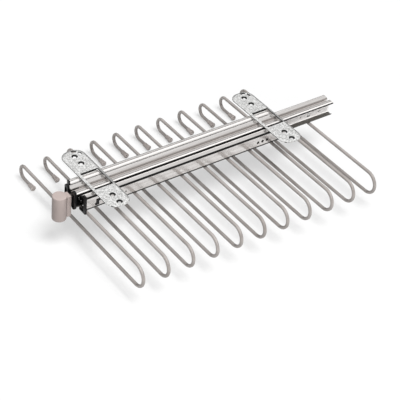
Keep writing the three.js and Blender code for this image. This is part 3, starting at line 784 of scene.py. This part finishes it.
mouldings = {
    "capEdge": 0.5 * mm, "catchEdge": 0.15 * mm, "spineEdge": 0.3 * mm, "neckEdge": 0.8 * mm,
    "capFoot": 4 * mm, "roundSteps": 3, "neckAngle": 40,
}
blackPieces = [
    ("fixed_slide_cap_near", "fixedCapNear", "frame", "capEdge"),
    ("fixed_slide_bumper_far", "flangeBumperFar", "frame", "capEdge"),
    ("slide_catch_near", "catchNear", "frame", "catchEdge"),
    ("slide_catch_far", "catchFar", "frame", "catchEdge"),
    ("carrier_slide_cap_near", "carrierCapNear", "carriage", "capEdge"),
    ("carrier_slide_cap_far", "carrierCapFar", "carriage", "capEdge"),
    ("middle_slide_bumper_near", "middleBumperNear", "middle_slide_near", "capEdge"),
    ("middle_slide_bumper_far", "middleBumperFar", "middle_slide_far", "capEdge"),
]
for node, name, body, edge in blackPieces:
    piece = weldedCopy(node, name)
    if node == "fixed_slide_cap_near":  # its foot follows the deeper member
        for v in piece.data.vertices:
            if v.co.z < fixedLow.z + mouldings["capFoot"]:
                v.co.z -= slide["deeper"]
    finished(piece, body, blackPlastic, [node], mouldings[edge],
             mouldings["roundSteps"])
finished(weldedCopy("carrier_spine", "spinePlate"), "carriage", mokaPaint,
         ["carrier_spine"], mouldings["spineEdge"])
finished(weldedCopy("handle_neck", "handleNeck"), "carriage", mokaPlastic,
         ["handle_neck"], mouldings["neckEdge"], mouldings["roundSteps"], mouldings["neckAngle"])
print("caps, catches, spine and neck made")

handleLook = {"edge": 1.1 * mm, "edgeSteps": 5, "around": 96}


def makeHandle(part):
    low, high = boxOf("handle")
    e, n = part["edge"], part["edgeSteps"]
    rim = (high.x - low.x) / 2 - e
    profile = ([(0, low.z)] + arc(rim, low.z + e, e, -quarter, 0, n)
               + arc(rim, high.z - e, e, 0, quarter, n) + [(0, high.z)])
    return turned("pullHandle", profile, part["around"], (0, (low.y + high.y) / 2, 0))


finished(makeHandle(handleLook), "carriage", mokaPlastic, ["handle"])

rivetLook = {
    "head": 3.1 * mm, "shank": 1.7 * mm, "web": 3.5 * mm, "steps": 6, "around": 28,
}


def makeRivets(part):
    lowFront, highFront = boxOf("spine_rivet_front")
    lowRear, highRear = boxOf("spine_rivet_rear")
    centre = (lowFront + highFront) / 2
    n, top, web, shank = part["steps"], highFront.x, part["web"], part["shank"]
    turns = [quarter * k / n for k in range(n)]
    half = [(part["head"] * math.cos(t), web + (top - web) * math.sin(t)) for t in turns]
    half.append((0, top))
    profile = [(r, -h) for r, h in half[::-1]] + [(shank, -web), (shank, web)] + half
    one = turned("spineRivets", profile, part["around"], (0, centre.y, centre.z), "x")
    pitch = (lowRear + highRear).y / 2 - centre.y
    return repeated(one, rowTree, {"Count": 2, "Pitch": pitch, "Finish": zincPlate})


finished(makeRivets(rivetLook), "carriage", zincPlate,
         ["spine_rivet_front", "spine_rivet_rear"])

hangers = {
    "count": 11, "radius": 2.5 * mm, "sides": 20, "nearTip": 163.5 * mm, "nearBend": 17 * mm,
    "farTip": 155 * mm, "farBend": 10.9 * mm, "returnEnd": 11.4 * mm, "shortLeg": 26 * mm,
    "nearSteps": 28, "farSteps": 22, "smoothAngle": 50,
}
hookCap = {
    "length": 12 * mm, "seat": 8 * mm, "mouth": 3.3 * mm, "end": 4.2 * mm, "around": 28,
    "gap": 0.3 * mm, "rim": 0.4 * mm, "flareSteps": 8, "flarePower": 1.4,
    "endRound": 1.2 * mm, "endSteps": 5,
}
hangerNames = [f"{i + 1:02d}" for i in range(hangers["count"])]
firstWire = boxOf("hanger_wire_01")
lastWire = boxOf(f"hanger_wire_{hangers['count']:02d}")
firstY = (firstWire[0].y + firstWire[1].y) / 2
hangerPitch = ((lastWire[0].y + lastWire[1].y) / 2 - firstY) / (hangers["count"] - 1)
returnZ = firstWire[1].z - hangers["radius"]
barZ = returnZ - 2 * hangers["nearBend"]
hookZ = barZ - 2 * hangers["farBend"]
nearCentre = hangers["nearTip"] - hangers["nearBend"]
farCentre = hangers["farBend"] - hangers["farTip"]
hookEnd = farCentre + hangers["shortLeg"]


def makeWires(part):
    near, far = part["nearBend"], part["farBend"]
    path = ([(-part["returnEnd"], returnZ)]
            + arc(nearCentre, returnZ - near, near, quarter, -quarter, part["nearSteps"])
            + arc(farCentre, barZ - far, far, quarter, 3 * quarter, part["farSteps"])
            + [(hookEnd - hookCap["length"] + hookCap["seat"] - hookCap["gap"], hookZ)])
    mesh = bpy.data.meshes.new("hangerWires")
    mesh.from_pydata([(x, firstY, z) for x, z in path],
                     [(i, i + 1) for i in range(len(path) - 1)], [])
    return repeated(placed("hangerWires", mesh), wireTree, {
        "Count": part["count"], "Pitch": hangerPitch, "Wire Radius": part["radius"],
        "Wire Sides": part["sides"], "Finish": mokaPaint})


def makeHookCaps(part):
    mouth, end, length, rim = part["mouth"], part["end"], part["length"], part["rim"]
    bore, turn, flare = hangers["radius"] + part["gap"], part["endRound"], part["flareSteps"]
    profile = [(0, part["seat"]), (bore, part["seat"]), (bore, rim), (bore + rim / 2, 0),
               (mouth - rim / 2, 0), (mouth, rim)]
    for k in range(1, flare + 1):  # a straight collar that flares out towards the end
        t = k / flare
        profile.append((mouth + (end - mouth) * t ** part["flarePower"],
                        length / 3 + (length * 2 / 3 - turn) * t))
    profile += arc(end - turn, length - turn, turn, 0, quarter, part["endSteps"])[1:]
    profile.append((0, length))
    one = turned("hookCaps", profile, part["around"], (hookEnd - length, firstY, hookZ), "x")
    return repeated(one, rowTree, {
        "Count": hangers["count"], "Pitch": hangerPitch, "Finish": capRubber})


finished(makeWires(hangers), "carriage", mokaPaint,
         ["hanger_wire_" + n for n in hangerNames], angle=hangers["smoothAngle"])
finished(makeHookCaps(hookCap), "carriage", capRubber,
         ["hanger_cap_" + n for n in hangerNames], angle=hangers["smoothAngle"])
print("wires and hook caps made")

bracket = {
    "plate": 2 * mm, "cornerRadius": 15 * mm, "cornerSteps": 14, "windowReach": 20 * mm,
    "windowWidth": 28.6 * mm, "footWidth": 24 * mm, "footReach": 3.4 * mm,
    "footSheet": 1.6 * mm, "holeReach": (40 * mm, 57.5 * mm), "hole": 2.3 * mm,
    "holeSteps": 32, "sink": 4.4 * mm, "slotRing": 11 * mm, "slotWidth": 4.6 * mm,
    "slotTurns": ((0.52, 0.68), (0.76, 0.97)), "slotSteps": 14, "topRound": 1 * mm,
    "roundSteps": 6, "pressedEdge": 2.6 * mm, "pressedSlope": 0.3, "edge": 0.12 * mm,
    "seat": 0.3 * mm, "over": 1 * mm, "sheared": 3.6 * mm, "steepInside": 0.9,
    "steepOutside": 0.6, "flatAngle": math.radians(0.5), "smoothAngle": 15,
}


def bracketPlate(part, name, low, high):
    # a flat plate whose edge is pressed down in a slope that ends in a round
    y, half = (low.y + high.y) / 2, (high.y - low.y) / 2
    slope, turn = part["pressedSlope"], part["topRound"]
    drop = part["pressedEdge"] * math.tan(slope) + turn * math.cos(slope)
    angles = [slope + (quarter - slope) * (1 - k / part["roundSteps"])
              for k in range(part["roundSteps"] + 1)]
    edge = [(0, -part["plate"])]
    edge += [(turn - turn * math.sin(t), turn * math.cos(t) - drop) for t in angles]
    edge.append((edge[-1][0] + part["pressedEdge"], 0))
    rings = []
    for inset, z in edge:
        outline = roundedOutline(low.x + inset, high.x - inset, inset - half, half - inset,
                                 part["cornerRadius"] - inset, part["cornerSteps"])
        rings.append([(px, py + y, z) for px, py in outline])
    return lofted(name, rings)


def bracketCutters(part, y):
    over, sunk = part["over"], part["sink"] - part["hole"]
    deep = -part["plate"] - over
    w, s = part["windowWidth"] / 2, part["windowReach"]
    cutters = [boxed("window", (-s, y - w, deep), (s, y + w, over))]
    profile = [(0, deep), (part["hole"], deep), (part["hole"], -sunk),
               (part["sink"] + over, over), (0, over)]
    for sign in (-1, 1):
        for reach in part["holeReach"]:
            cutters.append(turned("screwHole", profile, part["holeSteps"], (sign * reach, y, 0)))
    ring, width, n = part["slotRing"], part["slotWidth"] / 2, part["slotSteps"]
    for begin, end in part["slotTurns"]:
        begin, end, cx = begin * math.pi, end * math.pi, -part["holeReach"][1]
        outline = arc(cx, y, ring + width, begin, end, n) + arc(cx, y, ring - width, end, begin, n)
        cutters.append(extruded("endSlot", outline, deep, over, "z"))
    return cutters


def bracketFeet(part, y):
    # Z-shaped feet at the ends of the window, down to the fixed members
    flat = fixedRaces["top"] + raceRise + slide["sheet"] / 2 + part["seat"]
    a, t, root = part["windowReach"], part["footSheet"], -part["plate"] / 2
    b = a + part["footReach"]
    outline = [(a, root), (a + t, root), (a + t, flat + t), (b, flat + t), (b, flat), (a, flat)]
    return [extruded("foot", [(sign * px, pz) for px, pz in outline],
                     y - part["footWidth"] / 2, y + part["footWidth"] / 2, "y")
            for sign in (-1, 1)]


def makeBracket(part, node, name):
    low, high = boxOf(node)
    y = (low.y + high.y) / 2
    piece = bracketPlate(part, name, low, high)
    for cutter in bracketCutters(part, y):
        carve(piece, cutter)
    for foot in bracketFeet(part, y):
        carve(piece, foot, "UNION")

    def markWalls(work):
        # sheared walls get the second finish, near-black painted shade, and the feet's walls below
        # them the third
        bmesh.ops.remove_doubles(work, verts=work.verts, dist=weld)
        bmesh.ops.dissolve_limit(work, angle_limit=part["flatAngle"], verts=work.verts,
                                 edges=work.edges)
        bmesh.ops.bisect_plane(work, geom=work.verts[:] + work.edges[:] + work.faces[:],
                               plane_co=(0, 0, -part["sheared"]), plane_no=(0, 0, 1))
        rim, half = part["pressedEdge"] + part["topRound"], (high.y - low.y) / 2
        for face in work.faces:
            middle = face.calc_center_median()
            inward = low.x + rim < middle.x < high.x - rim and abs(middle.y - y) < half - rim
            steep = abs(face.normal.z) < part["steepInside" if inward else "steepOutside"]
            if steep and (inward or middle.x < high.x - part["cornerRadius"]):
                face.material_index = 1 if middle.z > -part["sheared"] or not inward else 2

    reworked(piece.data, markWalls)
    return piece


for node, name in (("bracket_front", "bracketFront"), ("bracket_rear", "bracketRear")):
    finished(makeBracket(bracket, node, name), "frame", [zincPlate, paintedShadeCut, zincDull],
             [node], bracket["edge"], angle=bracket["smoothAngle"])
print("brackets made")

studio = {
    "floorDrop": 0.5 * mm, "floorHalf": 0.75, "floor": (146, 146, 146),
    "floorBounce": (150, 150, 150), "floorGrain": 40, "floorSpeckle": 3, "floorRoughness": 0.9,
    "floorSheen": 0.1, "floorLift": 0.53, "floorTilt": (-0.13, -0.01, 0), "sky": 0.35,
    "key": {"energy": 374.0, "size": 2.6, "place": (1.8, 0.1, 4.5)},
    "fill": {"energy": 20.0, "size": 1.2, "place": (1.7, -1.0, 0.7)}, "lampAim": (0, 0, -0.05),
    "flagWay": (0.83, 0.5, 0.15), "flagEdge": (0.84, 0.89), "flagLevel": 0.03,
    "horizon": (0.3, 0.5), "mirrored": (0.024, 0.8),
}


def seenRays(tree):
    # 1 for the rays that show something: camera, glossy and transmission
    rays = addNode(tree, "ShaderNodeLightPath").outputs
    both = addNode(tree, "ShaderNodeMath", {
        0: rays["Is Camera Ray"], 1: rays["Is Glossy Ray"]}, operation="MAXIMUM")
    return addNode(tree, "ShaderNodeMath", {
        0: both.outputs[0], 1: rays["Is Transmission Ray"]}, operation="MAXIMUM").outputs[0]


def layFloor(part):
    z, h = cadLow.z - part["floorDrop"], part["floorHalf"]
    mesh = bpy.data.meshes.new("floor")
    mesh.from_pydata([(-h, -h, z), (h, -h, z), (h, h, z), (-h, h, z)], [], [[0, 1, 2, 3]])
    floor = placed("floor", mesh)
    material = bpy.data.materials.new("floorPaper")
    material.use_nodes = True
    tree = material.node_tree
    place = addNode(tree, "ShaderNodeTexCoord").outputs["Object"]
    grain = addNode(tree, "ShaderNodeTexNoise", {"Vector": place, "Scale": part["floorGrain"]})
    ramp = addNode(tree, "ShaderNodeValToRGB", {0: grain.outputs[0]})
    ramp.color_ramp.elements[0].color = toLinear([c - part["floorSpeckle"] for c in part["floor"]])
    ramp.color_ramp.elements[1].color = toLinear(part["floor"])
    # the camera and the metal see pale paper, and it throws less light up from below
    seen = seenRays(tree)
    tone = addNode(tree, "ShaderNodeMix", {
        0: seen, 6: toLinear(part["floorBounce"]), 7: ramp.outputs["Color"]}, data_type="RGBA")
    # the paper gets a little paler away from the key light, so that it looks even
    tilt = addNode(tree, "ShaderNodeVectorMath", {0: place, 1: part["floorTilt"]},
                   operation="DOT_PRODUCT")
    lift = addNode(tree, "ShaderNodeMath", {0: tilt.outputs["Value"], 1: part["floorLift"]},
                   operation="ADD")
    glow = addNode(tree, "ShaderNodeMath", {0: seen, 1: lift.outputs[0]}, operation="MULTIPLY")
    shader = tree.nodes["Principled BSDF"].inputs
    for label, value in {
            "Base Color": tone.outputs[2], "Roughness": part["floorRoughness"],
            "Specular IOR Level": part["floorSheen"], "Emission Color": white,
            "Emission Strength": glow.outputs[0]}.items():
        feed(tree, shader[label], value)
    floor.data.materials.append(material)


def hangLamp(name, part, aim):
    lamp = bpy.data.lights.new(name, "AREA")
    lamp.shape = "DISK"
    lamp.size = part["size"]
    lamp.energy = part["energy"]
    holder = placed(name, lamp)
    holder.location = part["place"]
    holder.rotation_euler = (Vector(aim) - holder.location).to_track_quat("-Z", "Y").to_euler()
    holder.visible_glossy = False


def lightStudio(part):
    world = bpy.data.worlds.new("studio")
    bpy.context.scene.world = world
    world.use_nodes = True
    tree = world.node_tree
    tree.nodes.clear()
    place = addNode(tree, "ShaderNodeTexCoord").outputs["Generated"]

    def fading(value, fromRange, toRange):
        return addNode(tree, "ShaderNodeMapRange", {
            "Value": value, "From Min": fromRange[0], "From Max": fromRange[1],
            "To Min": toRange[0], "To Max": toRange[1]},
            interpolation_type="SMOOTHSTEP").outputs["Result"]

    # metal sees a dark room low down, and a dark screen on one side
    towards = addNode(tree, "ShaderNodeVectorMath", {
        0: place, 1: Vector(part["flagWay"]).normalized()}, operation="DOT_PRODUCT")
    height = addNode(tree, "ShaderNodeSeparateXYZ", {0: place})
    darker = addNode(tree, "ShaderNodeMath", {
        0: fading(height.outputs["Z"], part["horizon"], part["mirrored"]),
        1: fading(towards.outputs["Value"], part["flagEdge"], (1, part["flagLevel"]))},
        operation="MULTIPLY")
    rays = addNode(tree, "ShaderNodeLightPath")
    bright = addNode(tree, "ShaderNodeMix", {
        0: rays.outputs["Is Glossy Ray"], 2: 1, 3: darker.outputs[0]}, data_type="FLOAT")
    seen = addNode(tree, "ShaderNodeBackground", {"Color": white, "Strength": bright.outputs[0]})
    lit = addNode(tree, "ShaderNodeBackground", {"Strength": part["sky"]})
    mix = addNode(tree, "ShaderNodeMixShader", {
        0: seenRays(tree), 1: lit.outputs[0], 2: seen.outputs[0]})
    addNode(tree, "ShaderNodeOutputWorld", {"Surface": mix.outputs[0]})
    hangLamp("key", part["key"], part["lampAim"])
    hangLamp("fill", part["fill"], part["lampAim"])


layFloor(studio)
lightStudio(studio)
bpy.context.scene.view_settings.view_transform = "Standard"
print("studio made")
